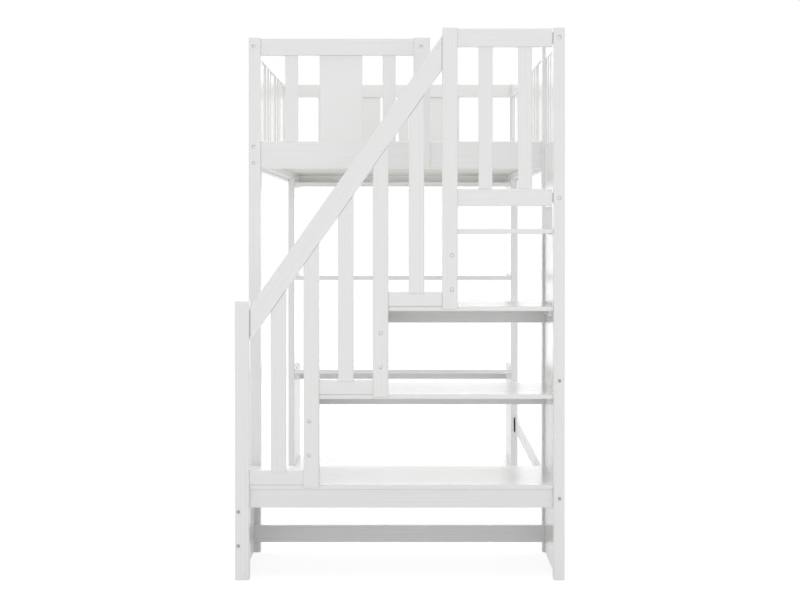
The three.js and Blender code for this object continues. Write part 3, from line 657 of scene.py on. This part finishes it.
class LOFTBED_OT_tape(bpy.types.Operator):
    """Lays the two woven tapes that join the bed slats, and staples them down"""

    bl_idname = "loftbed.tape"
    bl_label = "Slat Tape"

    def execute(self, context):
        sizes, finish = context.scene.bed_fittings, context.scene.bed_finish
        middles, top = slat_middles(), slat_top()
        self.add_tapes(sizes, finish, middles, top)
        self.add_staples(sizes, finish, middles, top)
        return {"FINISHED"}

    def add_tapes(self, sizes, finish, middles, top):
        """A flat oval carried along the bed, a hair lower in the middle of each gap."""
        past_middle, rows, dip = 16 * MM, 281, 0.25 * MM
        y = np.linspace(middles[0] - past_middle, middles[-1] + past_middle, rows)
        pitch = middles[1] - middles[0]
        sag = dip * (1 - np.cos(2 * math.pi * (y - middles[0]) / pitch)) / 2
        angle = np.arange(16) * 2 * math.pi / 16
        # the oval is a superellipse: x = a sgn(cos t) |cos t| ** 0.25, z likewise with sin t
        across = sizes.tape_width / 2 * np.sign(np.cos(angle)) * abs(np.cos(angle)) ** 0.25
        thick = sizes.tape_thickness / 2 * np.sign(np.sin(angle)) * abs(np.sin(angle)) ** 0.4
        ends = np.ones_like(y)
        ends[[0, -1]] = 0.0
        points = np.stack([
            across[None, :] * ends[:, None], y[:, None] + 0 * across[None, :],
            thick[None, :] * ends[:, None] - sag[:, None]], axis=-1)
        shape = points.reshape(-1, 3), grid_faces(len(y), len(angle))
        material, tree, shader, place = new_material("woven_cotton_webbing")
        # a coarse weave: a wave's rib is two pi radians long, so ribs are about 15 mm apart
        shader.inputs["Base Color"].default_value = (*finish.tape, 1.0)
        shader.inputs["Roughness"].default_value = 0.8
        shader.inputs["Sheen Weight"].default_value = 0.15
        radian, node_factor = 2.4 * MM, 20
        ribs = {"Scale": 1 / radian / node_factor, "Vector": place}
        along = add_node(tree, "ShaderNodeTexWave", ribs, bands_direction="Y").outputs["Fac"]
        over = add_node(tree, "ShaderNodeTexWave", ribs, bands_direction="X").outputs["Fac"]
        normal = bumped(tree, along, 0.25 * MM, bumped(tree, over, 0.12 * MM))
        tree.links.new(normal, shader.inputs["Normal"])
        make_piece("slat_tapes", placed(shape, [(x, 0, top) for x in tape_sides()], "up"), material,
                   math.radians(70))

    def add_staples(self, sizes, finish, middles, top):
        """A rounded bar: circles of radius r (1 - u ** 8) along its length u from -1 to 1."""
        along = np.array([-1, -0.97, -0.9, 0.9, 0.97, 1])
        radius = 0.55 * MM * np.array([0, 0.7, 1, 1, 0.7, 0])
        angle = np.arange(8) * 2 * math.pi / 8
        points = np.stack([
            along[:, None] * sizes.staple_length / 2 + 0 * angle[None, :],
            radius[:, None] * np.cos(angle)[None, :],
            radius[:, None] * np.sin(angle)[None, :]], axis=-1)
        shape = points.reshape(-1, 3), grid_faces(len(along), len(angle))
        apart = 11 * MM
        places = [(x, middle + part, top + sizes.tape_thickness / 2)
                  for x in tape_sides()[::-1] for middle in middles for part in (-apart, apart)]
        zinc = metal("zinc_staples", finish.bright_steel, 0.3)
        make_piece("staples", placed(shape, places, "up"), zinc)


BED_MIDDLE = (0.0, 0.0, 0.95)
LAMPS = {  # of each lamp: its place, what it looks at, its width and its height
    "top": ((0.0, 0.0, 5.5), (0.0, 0.001, 0.0), 5.0, 6.0),
    "front": ((0.0, -7.5, 1.9), BED_MIDDLE, 5.0, 3.6),
    "rear_left": ((-5.0, 4.0, 2.2), BED_MIDDLE, 5.0, 4.0),
    "rear_right": ((5.0, 4.0, 2.2), BED_MIDDLE, 5.0, 4.0),
    "rear": ((0.0, 6.0, 1.4), (0.0, 0.0, 1.4), 4.0, 2.6),
}


def area_lamp(name, place, target, width, height, watts):
    """A soft lamp of the given size that looks from its place to a target."""
    lamp = bpy.data.lights.new(name, "AREA")
    lamp.shape, lamp.size, lamp.size_y, lamp.energy = "RECTANGLE", width, height, watts
    piece = bpy.data.objects.new(name, lamp)
    bpy.context.scene.collection.objects.link(piece)
    piece.location = place
    aim = np.array(target, float) - np.array(place, float)
    flat = math.hypot(aim[0], aim[1])
    piece.rotation_euler = (math.atan2(flat, -aim[2]), 0.0, math.atan2(-aim[0], aim[1]))
    piece.visible_camera = False
    return piece


class LOFTBED_OT_studio(bpy.types.Operator):
    """Sets up the pale floor, the white room, the soft lamps and the camera"""

    bl_idname = "loftbed.studio"
    bl_label = "Studio"

    def execute(self, context):
        studio = context.scene.bed_studio
        self.add_floor()
        self.set_room(context.scene, studio)
        for name, (place, target, width, height) in LAMPS.items():
            area_lamp(f"lamp_{name}", place, target, width, height, getattr(studio, name))
        self.add_camera(context.scene, studio)
        return {"FINISHED"}

    def add_floor(self):
        """A flat white sheet of paper, whose shadows show but whose edge does not."""
        half, glow_strength, glow_share = 40.0, 1.3, 0.62
        mesh = bpy.data.meshes.new("floor")
        mesh.from_pydata(
            [(-half, -half, 0), (half, -half, 0), (half, half, 0), (-half, half, 0)], [],
            [(0, 1, 2, 3)])
        floor = bpy.data.objects.new("floor", mesh)
        bpy.context.scene.collection.objects.link(floor)
        material = bpy.data.materials.new("white_paper_floor")
        material.use_nodes = True
        tree = material.node_tree
        tree.nodes.clear()
        paper = add_node(tree, "ShaderNodeBsdfDiffuse", {"Color": (*linear("F7F7F7"), 1.0)})
        glow = add_node(tree, "ShaderNodeEmission", {
            "Color": (1.0, 1.0, 1.0, 1.0), "Strength": glow_strength})
        seen = self.seen_rays(tree)
        share = add_node(tree, "ShaderNodeMath", {0: seen, 1: glow_share}, operation="MULTIPLY")
        mix = add_node(tree, "ShaderNodeMixShader", {
            "Fac": share.outputs[0], 1: paper.outputs[0], 2: glow.outputs[0]})
        add_node(tree, "ShaderNodeOutputMaterial", {"Surface": mix.outputs[0]})
        mesh.materials.append(material)

    def seen_rays(self, tree):
        """One for what the camera sees, also in a gloss or through a clear piece."""
        rays = add_node(tree, "ShaderNodeLightPath")
        glossy = add_node(tree, "ShaderNodeMath", {
            0: rays.outputs["Is Glossy Ray"], 1: rays.outputs["Is Transmission Ray"]},
            operation="MAXIMUM")
        return add_node(tree, "ShaderNodeMath", {
            0: rays.outputs["Is Camera Ray"], 1: glossy.outputs[0]},
            operation="MAXIMUM").outputs[0]

    def set_room(self, scene, studio):
        """The room is white where the camera or a gloss sees it, and gives an even soft light."""
        world = bpy.data.worlds.new("white_room")
        scene.world = world
        world.use_nodes = True
        tree = world.node_tree
        tree.nodes.clear()
        light = add_node(tree, "ShaderNodeBackground", {
            "Color": (1.0, 1.0, 1.0, 1.0), "Strength": studio.sky})
        white = add_node(tree, "ShaderNodeBackground", {
            "Color": (1.0, 1.0, 1.0, 1.0), "Strength": 1.0})
        mix = add_node(tree, "ShaderNodeMixShader", {
            "Fac": self.seen_rays(tree), 1: light.outputs[0], 2: white.outputs[0]})
        add_node(tree, "ShaderNodeOutputWorld", {"Surface": mix.outputs[0]})
        scene.view_settings.view_transform = "Standard"

    def add_camera(self, scene, studio):
        """A level camera that looks square at the staircase end."""
        lens = bpy.data.cameras.new("camera")
        lens.lens, lens.sensor_width = studio.lens, 36.0
        lens.shift_x, lens.shift_y = studio.shift_x, studio.shift_y
        camera = bpy.data.objects.new("camera", lens)
        scene.collection.objects.link(camera)
        camera.location = (studio.across, STAIR_FRONT - studio.distance, studio.height)
        camera.rotation_euler = (math.pi / 2, 0.0, 0.0)
        scene.camera = camera


class LOFTBED_PT_panel(bpy.types.Panel):
    """Lists the steps that dress the loft bed"""

    bl_idname = "LOFTBED_PT_panel"
    bl_label = "Loft Bed"
    bl_space_type = "VIEW_3D"
    bl_region_type = "UI"
    bl_category = "Loft Bed"

    def draw(self, context):
        for step in STEPS:
            self.layout.operator(step.bl_idname)
        for group in (context.scene.bed_finish, context.scene.bed_fittings,
                      context.scene.bed_studio):
            box = self.layout.box()
            for name in type(group).__annotations__:
                box.prop(group, name)


STEPS = (
    LOFTBED_OT_studio, LOFTBED_OT_lumber, LOFTBED_OT_boards, LOFTBED_OT_slats,
    LOFTBED_OT_bolts, LOFTBED_OT_nuts, LOFTBED_OT_caps, LOFTBED_OT_screws, LOFTBED_OT_tape,
)
GROUPS = {"bed_finish": BedFinish, "bed_fittings": BedFittings, "bed_studio": BedStudio}
CLASSES = (*GROUPS.values(), *STEPS, LOFTBED_PT_panel)


def register():
    for each in CLASSES:
        bpy.utils.register_class(each)
    for name, group in GROUPS.items():
        setattr(bpy.types.Scene, name, PointerProperty(type=group))


def unregister():
    for name in GROUPS:
        delattr(bpy.types.Scene, name)
    for each in reversed(CLASSES):
        bpy.utils.unregister_class(each)


def main():
    register()
    for step in STEPS:
        getattr(bpy.ops.loftbed, step.bl_idname.split(".")[1])()


if __name__ == "__main__":
    main()
